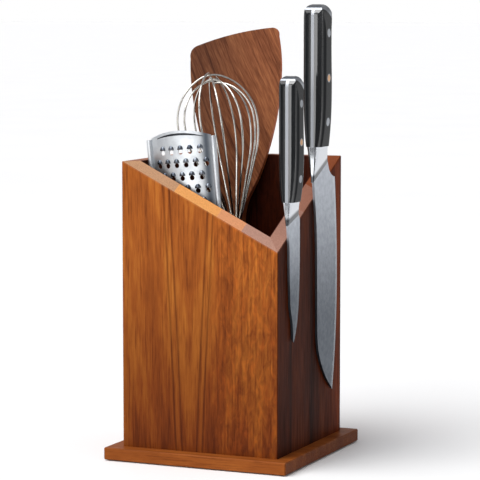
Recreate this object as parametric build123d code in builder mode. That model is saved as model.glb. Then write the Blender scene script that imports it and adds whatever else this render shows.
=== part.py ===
from build123d import *
import os
from dataclasses import dataclass
from math import asin, cos, degrees, hypot, radians, sin, tan

# Knife block: a square box of mitred boards on a wider base board, its rim cut down to the front
# right corner. Two knives are held flat on the right wall by magnets hidden in it. A whisk, a
# turner and a hand grater stand in the well.
# Frame: millimetres, +Z up, +X towards the knife wall, front wall facing -Y, origin on the table
# under the centre of the base.

os.makedirs("parts", exist_ok=True)

# ---------------------------------------------------------------- driving dimensions
# Box
box_side = 150.0
box_top = 268.0
low_corner_top = 192.5
wall = 13.0
edge_ease = 0.6

# Base board
base_side = 176.0
base_bottom = 1.0
base_top = 12.0
base_ease = 0.8

# Screws up through the base into the walls
screw_reach = 45.0
screw_radius = 1.8
screw_length = 32.0
screw_tip = 3.0
screw_drive = (4.4, 0.9, 1.3)
screw_head_radius = 4.0
screw_head_height = 2.4
screw_recess = 0.6
screw_clearance = 0.05

# Feet
foot_radius = 8.0
foot_height = 2.5
foot_inset = 12.0
foot_clearance = 0.2

# Magnets in the right wall
pocket_heights = (122.0, 176.0)
pocket_length = 112.0
pocket_width = 20.0
skin = 2.5
magnet_thick = 5.0
magnet_length = 25.0
magnet_count = 4
magnet_gap = 0.1

# Knives, held flat on the right wall
blade_gap = 0.25
blade_thick = 2.2
tang_thick = 2.8
edge_thick = 0.3
grind_width = 6.0
rivet_fit = 0.03
neck_step = 2.6
corner_share = 0.34
butt_rounding = [(31.0, 0.0), (18.0, 0.4), (9.4, 1.3), (3.3, 3.0), (0.7, 4.9), (-0.3, 7.8)]

# Whisk
whisk_mouth = (-1.9, 6.0, 203.4)
whisk_lean = -0.1726
wire_radius = 0.85
loop_turns = (90, 30, 120, 150, 60, 0)
loop_step = 1.9
bulge_radius = 36.3
bulge_height = 98.0
apex_height = 143.0
neck_radius = 4.2
neck_depth = 12.0
plug_height = 8.8
mouth_radius = 7.0
grip_radius = 8.6
tube_wall = 0.8
whisk_cap_height = 14.0
flare_angle = 22.0
turn_radius = 15.0
side_radius = 94.0
crown_radius = 24.0

# Turner
turner_foot = (-14.7, 40.0, 13.2)
turner_lean = (-0.032, 0.0728)
turner_neck = 196.0
turner_length = 372.2
turner_stock = 16.0
turner_widest = 120.0

# Grater
grater_foot = (-4.0, -50.5, 12.6)
grater_lean = -0.09
sheet_width = 58.4
sheet_bow = 6.5
sheet_thick = 0.9
sheet_bottom = 118.0
sheet_top = 283.6
arch_rise = 6.0
rail_width = 4.5
rail_depth = 5.0
rail_top = 277.0
rail_gap = 0.05
tooth_pitch = 9.0
row_pitch = 11.65
tooth_shift = 1.6
tooth_radius = 2.2
row_count = 13
first_row_drop = 19.1
cut_depth = 20.0
grip_slab = 10.4
grip_round = 2.5

half = box_side / 2
inner = half - wall
rim_fall = (box_top - low_corner_top) / box_side
rim_plane = Plane(origin=(half, -half, low_corner_top), x_dir=(1, 1, 0), z_dir=(rim_fall, -rim_fall, 1))
wall_middle = half - wall / 2
screw_spots = [(x, y) for x in (-screw_reach, screw_reach) for y in (-wall_middle, wall_middle)]
screw_spots += [(x, y) for x in (-wall_middle, wall_middle) for y in (-screw_reach, screw_reach)]
foot_reach = base_side / 2 - foot_inset
foot_spots = [(x, y) for x in (-foot_reach, foot_reach) for y in (-foot_reach, foot_reach)]
screw_bottom = base_bottom + screw_recess
blade_x = half + blade_gap + blade_thick / 2
UP_FROM_BASE = (Align.CENTER, Align.CENTER, Align.MIN)


def save(part, name):
    """Label a finished piece and write it as its own STEP file."""
    part.label = name
    export_step(part, f"parts/{name}.step")


# ---------------------------------------------------------------- box
def make_wall(name, turn, sloped, magnet_pockets=False):
    """One mitred board. Turn 0 is the front wall; the others are it turned about the box's middle."""
    soft = edge_ease / 2
    with BuildPart() as board:
        with BuildSketch(Plane.XY.offset(base_top).rotated((0, 0, turn))):
            with BuildLine():
                Polyline(
                    (-half + edge_ease, -half),
                    (half - edge_ease, -half),
                    (half - soft, -half + soft),
                    (inner, -inner),
                    (-inner, -inner),
                    (-half + soft, -half + soft),
                    close=True,
                )
            make_face()
        extrude(amount=box_top - base_top)
        if sloped:
            split(bisect_by=rim_plane, keep=Keep.BOTTOM)
        rim = board.faces().sort_by(Axis.Z)[-1]
        chamfer(rim.edges().filter_by(lambda edge: edge.length > inner), edge_ease)
        with BuildSketch(Plane.XY.offset(base_top).rotated((0, 0, turn))):
            with Locations((-screw_reach, -wall_middle), (screw_reach, -wall_middle)):
                Circle(screw_radius + screw_clearance)
        extrude(amount=screw_bottom + screw_length - base_top + 1.0, mode=Mode.SUBTRACT)
        if magnet_pockets:
            with BuildSketch(Plane.YZ.offset(inner)):
                with Locations(*[(0, height) for height in pocket_heights]):
                    Rectangle(pocket_length, pocket_width)
            extrude(amount=wall - skin, mode=Mode.SUBTRACT)
    save(board.part, name)


make_wall("front_wall", 0, sloped=True)
make_wall("right_wall", 90, sloped=True, magnet_pockets=True)
make_wall("back_wall", 180, sloped=False)
make_wall("left_wall", 270, sloped=False)

with BuildPart() as base_board:
    with BuildSketch(Plane.XY.offset(base_bottom)):
        Rectangle(base_side, base_side)
    extrude(amount=base_top - base_bottom)
    chamfer(base_board.edges(), base_ease)
    with BuildSketch(Plane.XY.offset(base_bottom)):
        with Locations(*screw_spots):
            Circle(screw_radius + 0.2)
    extrude(amount=base_top - base_bottom, mode=Mode.SUBTRACT)
    with Locations(*[(x, y, base_bottom) for x, y in screw_spots]):
        Cylinder(screw_head_radius + screw_clearance, screw_recess, align=UP_FROM_BASE, mode=Mode.SUBTRACT)
    with Locations(*[(x, y, screw_bottom) for x, y in screw_spots]):
        Cone(
            screw_head_radius + screw_clearance,
            screw_radius + screw_clearance,
            screw_head_height,
            align=UP_FROM_BASE,
            mode=Mode.SUBTRACT,
        )
    with Locations(*[(x, y, base_bottom) for x, y in foot_spots]):
        Cylinder(
            foot_radius + foot_clearance,
            foot_height - base_bottom,
            align=UP_FROM_BASE,
            mode=Mode.SUBTRACT,
        )
save(base_board.part, "base_board")

with BuildPart() as base_screws:
    with Locations(*[(x, y, screw_bottom) for x, y in screw_spots]):
        Cone(screw_head_radius, screw_radius, screw_head_height, align=UP_FROM_BASE)
        Cylinder(screw_radius, screw_length - screw_tip, align=UP_FROM_BASE)
    with Locations(*[(x, y, screw_bottom + screw_length - screw_tip) for x, y in screw_spots]):
        Cone(screw_radius, 0.3, screw_tip, align=UP_FROM_BASE)
    with Locations(*[(x, y, screw_bottom) for x, y in screw_spots]):
        long, narrow, deep = screw_drive
        Box(long, narrow, deep, align=UP_FROM_BASE, mode=Mode.SUBTRACT)
        Box(narrow, long, deep, align=UP_FROM_BASE, mode=Mode.SUBTRACT)
save(base_screws.part, "base_screws")

with BuildPart() as rubber_feet:
    with Locations(*[(x, y, 0) for x, y in foot_spots]):
        Cylinder(foot_radius, foot_height, align=UP_FROM_BASE)
    fillet(rubber_feet.edges().group_by(Axis.Z)[0], 0.4)
save(rubber_feet.part, "rubber_feet")

# Magnets lie against the wall's thin outer skin, and flush wooden strips close their pockets.
magnet_face = half - skin
magnet_step = (pocket_length - magnet_length) / (magnet_count - 1) - 1.0
magnet_spots = [magnet_step * (i - (magnet_count - 1) / 2) for i in range(magnet_count)]
magnet_rows = [(y, z) for z in pocket_heights for y in magnet_spots]
with BuildPart() as wall_magnets:
    with BuildSketch(Plane.YZ.offset(magnet_face - magnet_thick)):
        with Locations(*magnet_rows):
            Rectangle(magnet_length, pocket_width - 2 * magnet_gap)
    extrude(amount=magnet_thick)
save(wall_magnets.part, "wall_magnets")

with BuildPart() as magnet_covers:
    with BuildSketch(Plane.YZ.offset(inner)):
        with Locations(*[(0, height) for height in pocket_heights]):
            Rectangle(pocket_length - 2 * magnet_gap, pocket_width - 2 * magnet_gap)
    extrude(amount=wall - skin - magnet_thick - magnet_gap)
save(magnet_covers.part, "magnet_covers")


# ---------------------------------------------------------------- knives
@dataclass
class Knife:
    """Sizes of one knife. Its outlines run along the wall: first from the spine to the cutting
    edge, then up from the line where the handle meets the bolster."""

    name: str
    spine_y: float
    bolster_z: float
    handle_length: float
    neck_thick: float
    neck_deep: float
    grip_thick: float
    grip_deep: float
    cap_thick: float
    rivet_radius: float
    rivet_rises: tuple
    bolster_drop: float
    heel_drop: float
    bolster_reach: float
    spine: list
    drop: list
    edge: list
    choil: list

    def side(self, offset=0.0):
        """Plane along the blade, moved outwards from the blade's middle by offset."""
        return Plane(
            origin=(blade_x + offset, self.spine_y, self.bolster_z),
            x_dir=(0, 1, 0),
            z_dir=(1, 0, 0),
        )


chef = Knife(
    name="chef_knife",
    spine_y=0.0,
    bolster_z=280.0,
    handle_length=126.0,
    neck_thick=15.0,
    neck_deep=25.5,
    grip_thick=21.6,
    grip_deep=26.0,
    cap_thick=4.0,
    rivet_radius=3.8,
    rivet_rises=(22.0, 61.0, 101.0),
    bolster_drop=32.0,
    heel_drop=15.5,
    bolster_reach=34.6,
    spine=[(2.6, -30.0), (8.3, -68.0), (10.6, -110.0), (11.2, -160.0)],
    drop=[(14.2, -184.0), (22.9, -200.0), (36.5, -215.0), (50.3, -225.3)],
    edge=[(56.2, -192.0), (60.2, -150.0), (60.4, -95.0), (54.9, -29.8)],
    choil=[(46.5, -28.2), (39.6, -23.5), (34.0, -12.0), (24.5, -1.0)],
)

utility = Knife(
    name="utility_knife",
    spine_y=-58.5,
    bolster_z=235.0,
    handle_length=109.4,
    neck_thick=12.6,
    neck_deep=20.0,
    grip_thick=19.0,
    grip_deep=21.5,
    cap_thick=3.6,
    rivet_radius=3.4,
    rivet_rises=(20.1, 52.1, 85.6),
    bolster_drop=20.5,
    heel_drop=12.8,
    bolster_reach=24.5,
    spine=[(1.6, -20.0), (3.9, -36.0), (4.8, -62.0), (6.4, -86.0)],
    drop=[(9.0, -99.0), (12.3, -109.5), (16.4, -124.6)],
    edge=[(24.6, -107.0), (28.8, -80.0), (30.2, -48.0), (30.0, -16.5)],
    choil=[(27.5, -13.5), (24.0, -8.5), (19.4, -1.0)],
)


def grip_solid(knife):
    """The whole handle before it is parted into cap, scales and tang, with its curved butt."""
    length = knife.handle_length
    sections = [
        (0.0, knife.neck_thick, knife.neck_deep),
        (0.16 * length, knife.neck_thick + 0.72 * (knife.grip_thick - knife.neck_thick), knife.grip_deep - 0.4),
        (0.42 * length, knife.grip_thick, knife.grip_deep),
        (0.76 * length, knife.grip_thick, knife.grip_deep - 1.2),
        (1.02 * length, knife.grip_thick, knife.grip_deep + 2.0),
    ]
    with BuildPart() as grip:
        for rise, thick, deep in sections:
            with BuildSketch(Plane.XY.offset(knife.bolster_z + rise)):
                with Locations((blade_x, knife.spine_y + deep / 2)):
                    RectangleRounded(thick, deep, corner_share * thick)
        loft()
        with BuildSketch(knife.side(-knife.grip_thick)):
            with BuildLine():
                butt = Spline(
                    (-0.4, length - 11.5),
                    (8.5, length),
                    (knife.grip_deep + 1.5, length - 16.0),
                    tangents=((0.1, 1.0), (0.32, -1.0)),
                )
                Polyline(butt @ 1, (knife.grip_deep + 3.0, -5.0), (-3.0, -5.0), butt @ 0)
            make_face()
        extrude(amount=2 * knife.grip_thick, mode=Mode.INTERSECT)
        with BuildSketch(Plane(origin=(blade_x, knife.spine_y, knife.bolster_z), x_dir=(1, 0, 0), z_dir=(0, -1, 0))):
            rounding = [
                ((knife.grip_thick / 2 + 0.1) - inset * knife.grip_thick / chef.grip_thick, length - below)
                for below, inset in butt_rounding
            ]
            with BuildLine():
                right_side = Spline(*rounding)
                left_side = Spline(*[(-across, rise) for across, rise in rounding])
                Line(right_side @ 1, left_side @ 1)
                Polyline(
                    right_side @ 0,
                    (knife.grip_thick / 2 + 0.1, -5.0),
                    (-knife.grip_thick / 2 - 0.1, -5.0),
                    left_side @ 0,
                )
            make_face()
        extrude(amount=3 * knife.grip_deep, both=True, mode=Mode.INTERSECT)
    return grip.part


def cap_zone(knife):
    """The space that the polished butt cap takes up, above a line that follows the butt."""
    length = knife.handle_length
    with BuildPart() as zone:
        with BuildSketch(knife.side(-knife.grip_thick)):
            with BuildLine():
                seam = Spline(
                    (-4.0, length - 6.5),
                    (7.5, length - knife.cap_thick - 0.4),
                    (knife.grip_deep - 2.0, length - 15.0),
                    (knife.grip_deep + 4.0, length - 27.0),
                )
                Polyline(seam @ 1, (knife.grip_deep + 4.0, length + 9.0), (-4.0, length + 9.0), seam @ 0)
            make_face()
        extrude(amount=2 * knife.grip_thick)
    return zone.part


def make_cap(knife, grip, zone):
    """Polished cap that wraps over the butt."""
    with BuildPart() as cap:
        add(grip)
        add(zone, mode=Mode.INTERSECT)
    save(cap.part, knife.name + "_end_cap")


def rivet_bars(knife, rises, radius):
    """Round bars right through the handle, as cutters for the holes and as stock for the rivets."""
    with BuildPart() as bars:
        with BuildSketch(knife.side(-knife.grip_thick)):
            with Locations(*[(knife.grip_deep / 2, rise) for rise in rises]):
                Circle(radius)
        extrude(amount=2 * knife.grip_thick)
    return bars.part


def make_scale(knife, grip, zone, holes, name, side):
    """One handle slab. Side is 1 for the slab away from the wall and -1 for the other."""
    with BuildPart() as scale:
        add(grip)
        face = Plane(origin=(blade_x + side * tang_thick / 2, 0, 0), z_dir=(side, 0, 0))
        split(bisect_by=face, keep=Keep.TOP)
        add(zone, mode=Mode.SUBTRACT)
        add(holes, mode=Mode.SUBTRACT)
    save(scale.part, f"{knife.name}_{name}_scale")


def make_rivets(knife, grip):
    """Plain rivets at both ends of the grip, and a tube with a brass core in the middle."""
    low, middle, high = knife.rivet_rises
    core_radius = 0.8 * knife.rivet_radius
    with BuildPart() as rivets:
        add(rivet_bars(knife, (low, high), knife.rivet_radius))
        add(grip, mode=Mode.INTERSECT)
    save(rivets.part, knife.name + "_rivets")
    with BuildPart() as sleeve:
        add(rivet_bars(knife, (middle,), knife.rivet_radius))
        add(grip, mode=Mode.INTERSECT)
        add(rivet_bars(knife, (middle,), core_radius + rivet_fit), mode=Mode.SUBTRACT)
    save(sleeve.part, knife.name + "_middle_rivet")
    with BuildPart() as core:
        add(rivet_bars(knife, (middle,), core_radius))
        add(grip, mode=Mode.INTERSECT)
    save(core.part, knife.name + "_rivet_core")


def bolster_solid(knife):
    """Bolster that thins from the handle's neck to the blade along a slanted line."""
    rise = knife.bolster_drop - knife.heel_drop
    slant = asin(rise / hypot(rise, knife.bolster_reach))
    with BuildPart() as bolster:
        stages = [
            (0.0, knife.neck_thick - neck_step, knife.neck_deep - 0.5, 0.0),
            (0.52, 0.46 * knife.neck_thick, 0.5 * (knife.neck_deep + knife.bolster_reach), 0.55 * slant),
            (1.0, blade_thick + 0.2, knife.bolster_reach / cos(slant), slant),
        ]
        for share, thick, deep, tilt in stages:
            drop = share * (knife.bolster_drop + knife.heel_drop) / 2
            centre = knife.spine_y + knife.neck_deep / 2 * (1 - share) + share * (knife.bolster_reach / 2 + 0.4)
            section = Plane(
                origin=(blade_x, centre, knife.bolster_z - drop),
                x_dir=(1, 0, 0),
                z_dir=(0, -sin(tilt), cos(tilt)),
            )
            with BuildSketch(section):
                RectangleRounded(thick, deep, 0.3 * thick)
        loft()
    return bolster.part


def tang_solid(knife, grip, zone):
    """Full tang, the flat middle layer of the handle up to the butt cap."""
    with BuildPart() as tang:
        with BuildSketch(knife.side(-tang_thick / 2)):
            with Locations((knife.grip_deep / 2, knife.handle_length / 2)):
                Rectangle(2 * knife.grip_deep, knife.handle_length + 1.0)
        extrude(amount=tang_thick)
        add(grip, mode=Mode.INTERSECT)
        add(zone, mode=Mode.SUBTRACT)
    return tang.part


def make_blade(knife, grip, zone, holes):
    """Blade, bolster and full tang forged in one piece, ground to a thin cutting edge."""
    with BuildPart() as blade:
        with BuildSketch(knife.side(-blade_thick / 2)):
            with BuildLine():
                back = Spline(*knife.spine, tangents=((0.12, -1.0), (0.03, -1.0)))
                point = Spline(back @ 1, *knife.drop, tangents=((0.03, -1.0), (1.0, -0.7)))
                edge = Spline(point @ 1, *knife.edge)
                choil = Spline(edge @ 1, *knife.choil)
                Polyline(choil @ 1, (2.0, -1.0), back @ 0)
            make_face()
        extrude(amount=blade_thick)
        ground = blade.edges().filter_by(lambda e: abs(e.length - edge.length) < 0.001)
        chamfer(ground, (blade_thick - edge_thick) / 2, grind_width)
        add(bolster_solid(knife))
        add(tang_solid(knife, grip, zone))
        add(holes, mode=Mode.SUBTRACT)
    save(blade.part, knife.name + "_blade")


def make_knife(knife):
    """Every piece of one knife."""
    grip = grip_solid(knife)
    zone = cap_zone(knife)
    holes = rivet_bars(knife, knife.rivet_rises, knife.rivet_radius + rivet_fit)
    make_blade(knife, grip, zone, holes)
    make_scale(knife, grip, zone, holes, "outer", 1)
    make_scale(knife, grip, zone, holes, "inner", -1)
    make_cap(knife, grip, zone)
    make_rivets(knife, grip)


make_knife(chef)
make_knife(utility)

# ---------------------------------------------------------------- whisk
whisk_axis = Vector(whisk_lean, 0, 1).normalized()
whisk_across = Vector(1, 0, -whisk_lean).normalized()
whisk_frame = Plane(origin=whisk_mouth, x_dir=whisk_across, z_dir=whisk_axis)
whisk_grip_length = (whisk_mouth[2] - base_top - 1.8) / whisk_axis.Z


def whisk_loop(turn, apex):
    """One wire: straight in the neck, flaring to the widest ring, and rounded over the top."""
    flare = radians(flare_angle)
    flare_top = (bulge_radius - side_radius * (1 - cos(flare)), bulge_height - side_radius * sin(flare))
    bend_top_radius = neck_radius + turn_radius * (1 - cos(flare))
    bend_bottom = flare_top[1] - (flare_top[0] - bend_top_radius) / tan(flare) - turn_radius * sin(flare)
    reach = bulge_radius - crown_radius
    rise = apex - bulge_height - crown_radius
    gap = (reach**2 + rise**2) / (2 * reach)
    shoulder_radius = gap + crown_radius
    shoulder = degrees(asin(rise / gap))
    shoulder_x = bulge_radius - shoulder_radius
    side_x = bulge_radius - side_radius
    outwards = whisk_across.rotate(Axis((0, 0, 0), tuple(whisk_axis)), turn)
    radial = Plane(origin=whisk_frame.origin, x_dir=outwards, z_dir=outwards.cross(whisk_axis))
    with BuildPart() as loop:
        with BuildLine(radial) as wire:
            Line((neck_radius, -neck_depth), (neck_radius, bend_bottom))
            CenterArc((neck_radius + turn_radius, bend_bottom), turn_radius, 180, -flare_angle)
            Line((bend_top_radius, bend_bottom + turn_radius * sin(flare)), flare_top)
            CenterArc((side_x, bulge_height), side_radius, -flare_angle, flare_angle)
            CenterArc((shoulder_x, bulge_height), shoulder_radius, 0, shoulder)
            CenterArc((0, apex - crown_radius), crown_radius, shoulder, 180 - 2 * shoulder)
            CenterArc((-shoulder_x, bulge_height), shoulder_radius, 180 - shoulder, shoulder)
            CenterArc((-side_x, bulge_height), side_radius, 180, flare_angle)
            Line((-flare_top[0], flare_top[1]), (-bend_top_radius, bend_bottom + turn_radius * sin(flare)))
            CenterArc((-neck_radius - turn_radius, bend_bottom), turn_radius, flare_angle, -flare_angle)
            Line((-neck_radius, bend_bottom), (-neck_radius, -neck_depth))
        start = whisk_frame.origin + radial.x_dir * neck_radius - whisk_axis * neck_depth
        with BuildSketch(Plane(origin=start, x_dir=radial.x_dir, z_dir=whisk_axis)):
            Circle(wire_radius)
        sweep(path=wire.wires()[0])
    return loop.part


for i, loop_turn in enumerate(loop_turns):
    save(whisk_loop(loop_turn, apex_height - loop_step * i), f"whisk_loop_{i + 1}")

# Hollow grip: its wall is spun about the whisk's axis, open at the mouth and closed at the end.
whisk_side = Plane(origin=whisk_mouth, x_dir=whisk_across, z_dir=(0, -1, 0))
with BuildPart() as whisk_handle:
    with BuildSketch(whisk_side):
        with BuildLine():
            outer = Spline(
                (mouth_radius, 0),
                (mouth_radius - 0.4, -12),
                (grip_radius, -70),
                (grip_radius - 0.8, -whisk_grip_length + whisk_cap_height),
                tangents=((0, -1), (0, -1)),
            )
            Polyline(
                outer @ 1,
                (grip_radius - 0.8 - tube_wall, -whisk_grip_length + whisk_cap_height),
                (mouth_radius - 0.4 - tube_wall, -14),
                (mouth_radius - tube_wall, 0),
                outer @ 0,
            )
        make_face()
    revolve(axis=Axis(whisk_mouth, tuple(whisk_axis)))
save(whisk_handle.part, "whisk_handle")

with BuildPart() as whisk_end_cap:
    with BuildSketch(whisk_frame.offset(-whisk_grip_length)):
        Circle(grip_radius - 0.8)
    extrude(amount=whisk_cap_height)
    fillet(whisk_end_cap.faces().sort_by(Axis.Z)[0].edges(), whisk_cap_height / 2)
save(whisk_end_cap.part, "whisk_end_cap")

# Plug that grips the wires' ends in the mouth of the handle.
with BuildPart() as whisk_plug:
    with BuildSketch(whisk_frame.offset(-neck_depth - 1.0)):
        Circle(mouth_radius - 0.4 - tube_wall - 0.1)
    extrude(amount=plug_height)
    with BuildSketch(whisk_frame.offset(-neck_depth)):
        with PolarLocations(neck_radius, 2 * len(loop_turns)):
            Circle(wire_radius + 0.02)
    extrude(amount=neck_depth, mode=Mode.SUBTRACT)
save(whisk_plug.part, "whisk_plug")

# ---------------------------------------------------------------- turner
turner_axis = Vector(turner_lean[0], turner_lean[1], 1).normalized()
turner_across = Vector(1, 0, -turner_lean[0]).normalized()
turner_back = turner_axis.cross(turner_across)
turner_face = Plane(origin=turner_foot, x_dir=turner_across, z_dir=-turner_back)
turner_profile = Plane(origin=turner_foot, x_dir=turner_back, z_dir=turner_across)

with BuildPart() as turner:
    with BuildSketch(turner_face.offset(-turner_stock / 2)):
        with BuildLine():
            right = Spline(
                (7.6, turner_neck),
                (19.4, 227),
                (31.6, 257),
                (40.6, 291),
                (44.8, 328),
                (45.0, 338),
                (43.8, 354),
                (42.2, 364),
                tangents=((0.06, 1.0), (-0.2, 1.0)),
            )
            corner_right = ThreePointArc(right @ 1, (40.9, 369.4), (37.0, turner_length - 0.5))
            top = ThreePointArc(corner_right @ 1, (0, 367.1), (-40.0, 356.6))
            corner_left = ThreePointArc(top @ 1, (-45.3, 352.6), (-46.6, 345))
            left = Spline(
                corner_left @ 1,
                (-46.3, 326),
                (-41.0, 291),
                (-31.8, 257),
                (-19.4, 227),
                (-7.6, turner_neck),
                tangents=((-0.05, -1.0), (-0.06, -1.0)),
            )
            shaft_left = Line(left @ 1, (-9.5, 8))
            end = ThreePointArc(shaft_left @ 1, (0, 0), (9.5, 8))
            Line(end @ 1, right @ 0)
        make_face()
    extrude(amount=turner_stock)
    with BuildSketch(turner_profile.offset(-turner_widest / 2)):
        with BuildLine():
            front = Spline(
                (-5.8, 0),
                (-5.0, 170),
                (-2.7, 240),
                (-1.7, turner_length + 2),
                tangents=((0.0, 1.0), (0.0, 1.0)),
            )
            back = Spline(
                (5.8, 0),
                (5.0, 170),
                (2.7, 240),
                (2.2, turner_length + 2),
                tangents=((0.0, 1.0), (0.0, 1.0)),
            )
            Line(front @ 1, back @ 1)
            Line(front @ 0, back @ 0)
        make_face()
    extrude(amount=turner_widest, mode=Mode.INTERSECT)
save(turner.part, "turner")

# ---------------------------------------------------------------- grater
grater_axis = Vector(grater_lean, 0, 1).normalized()
grater_across = Vector(1, 0, -grater_lean).normalized()
grater_frame = Plane(origin=grater_foot, x_dir=grater_across, z_dir=grater_axis)
grater_face = Plane(origin=grater_foot, x_dir=grater_across, z_dir=(0, -1, 0))
sheet_half = sheet_width / 2
tooth_spots = []
for row in range(row_count):
    teeth = 5 + row % 2
    for tooth in range(teeth):
        across = (tooth - (teeth - 1) / 2) * tooth_pitch + tooth_shift
        tooth_spots.append((across, sheet_top - first_row_drop - row * row_pitch))

with BuildPart() as grater_sheet:
    with BuildSketch(grater_frame.offset(sheet_bottom)):
        with BuildLine():
            ThreePointArc((-sheet_half, 0), (0, -sheet_bow), (sheet_half, 0))
            Line((sheet_half, 0), (sheet_half, sheet_thick))
            ThreePointArc((sheet_half, sheet_thick), (0, sheet_thick - sheet_bow), (-sheet_half, sheet_thick))
            Line((-sheet_half, sheet_thick), (-sheet_half, 0))
        make_face()
    extrude(amount=sheet_top - sheet_bottom)
    with BuildSketch(grater_face.offset(-cut_depth / 2)):
        with BuildLine():
            crown = ThreePointArc(
                (-sheet_half - 1, sheet_top - arch_rise),
                (0, sheet_top),
                (sheet_half + 1, sheet_top - arch_rise),
            )
            Polyline(crown @ 1, (sheet_half + 1, sheet_top + 5), (-sheet_half - 1, sheet_top + 5), crown @ 0)
        make_face()
    extrude(amount=cut_depth, mode=Mode.SUBTRACT)
    with BuildSketch(grater_face.offset(-cut_depth / 2)):
        with BuildLine():
            slot_top = ThreePointArc((-23.5, sheet_top - 6.3), (0, sheet_top - 2.2), (23.5, sheet_top - 6.3))
            slot_low = ThreePointArc((-23.5, sheet_top - 6.7), (0, sheet_top - 4.2), (23.5, sheet_top - 6.7))
            Line(slot_top @ 0, slot_low @ 0)
            Line(slot_top @ 1, slot_low @ 1)
        make_face()
        with Locations(*tooth_spots):
            Circle(tooth_radius)
    extrude(amount=cut_depth, mode=Mode.SUBTRACT)
save(grater_sheet.part, "grater_sheet")


def make_rail(name, side):
    """Rolled tube along one edge of the grating sheet."""
    middle = side * (sheet_half + rail_gap + rail_width / 2)
    with BuildPart() as rail:
        with BuildSketch(grater_frame.offset(sheet_bottom)):
            with Locations((middle, 0.6)):
                RectangleRounded(rail_width, rail_depth, 1.9)
                RectangleRounded(rail_width - 1.6, rail_depth - 1.6, 1.1, mode=Mode.SUBTRACT)
        extrude(amount=rail_top - sheet_bottom)
    save(rail.part, name)


make_rail("grater_left_rail", -1)
make_rail("grater_right_rail", 1)

with BuildPart() as grater_handle:
    with BuildSketch(grater_face.offset(-grip_slab / 2)):
        with BuildLine():
            shoulder = sheet_half + rail_gap + rail_width
            cheek = Spline((shoulder, sheet_bottom - 6), (16, 92), (11.5, 70), tangents=((0, -1), (0, -1)))
            side_line = Line(cheek @ 1, (12.5, 9))
            butt = ThreePointArc(side_line @ 1, (0, 0), (-12.5, 9))
            other_side = Line(butt @ 1, (-11.5, 70))
            other_cheek = Spline(
                other_side @ 1, (-16, 92), (-shoulder, sheet_bottom - 6), tangents=((0, 1), (0, 1))
            )
            Polyline(other_cheek @ 1, (-shoulder, sheet_bottom - 0.05), (shoulder, sheet_bottom - 0.05), cheek @ 0)
        make_face()
    extrude(amount=grip_slab)
    fillet(grater_handle.faces().filter_by(Axis.Y).edges().filter_by(lambda e: (e @ 0.5).Z < 125), grip_round)
save(grater_handle.part, "grater_handle")
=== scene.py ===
"""Knife block with two knives, a whisk, a turner and a hand grater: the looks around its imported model."""

import logging
from dataclasses import dataclass, field
from enum import Enum
from math import asin, cos, radians, sqrt
from typing import Optional, Union

import bmesh
import bpy
from mathutils import Matrix, Vector


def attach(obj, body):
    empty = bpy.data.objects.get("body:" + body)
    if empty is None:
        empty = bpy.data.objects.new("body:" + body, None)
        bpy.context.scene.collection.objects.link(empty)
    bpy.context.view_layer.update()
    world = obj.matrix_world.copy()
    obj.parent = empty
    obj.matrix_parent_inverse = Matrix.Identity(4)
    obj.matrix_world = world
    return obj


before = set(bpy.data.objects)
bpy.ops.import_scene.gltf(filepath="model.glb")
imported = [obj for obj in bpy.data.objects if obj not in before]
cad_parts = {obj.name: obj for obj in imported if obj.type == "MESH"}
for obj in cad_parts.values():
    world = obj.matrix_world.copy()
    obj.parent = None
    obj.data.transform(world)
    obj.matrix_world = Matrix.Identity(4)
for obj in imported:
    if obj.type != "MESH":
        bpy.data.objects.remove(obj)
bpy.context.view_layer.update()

logging.basicConfig(level=logging.INFO, format="%(message)s")
log = logging.getLogger("knife_block")

Colour = tuple[float, float, float]
Socket = bpy.types.NodeSocket
Value = Union[float, tuple, Socket]

MM = 0.001
KNIFE_MIDDLE = 76.35 * MM
WHITE: Colour = (1.0, 1.0, 1.0)
MIDDLE = 0.5


def tone(red: int, green: int, blue: int) -> Colour:
    """Turn a colour as the eye reads it on a screen into linear light.

    Args:
        red: Red, 0 to 255.
        green: Green, 0 to 255.
        blue: Blue, 0 to 255.

    Returns:
        The linear colour.
    """
    shares = (red / 255, green / 255, blue / 255)
    return tuple(c / 12.92 if c < 0.0405 else ((c + 0.055) / 1.055) ** 2.4 for c in shares)


class Axis(Enum):
    """The row frame's axes, as places in a vector."""

    X = 0
    Y = 1
    Z = 2


class Blend(Enum):
    """Ways of laying one colour over another."""

    MIX = "MIX"
    MULTIPLY = "MULTIPLY"


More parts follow.
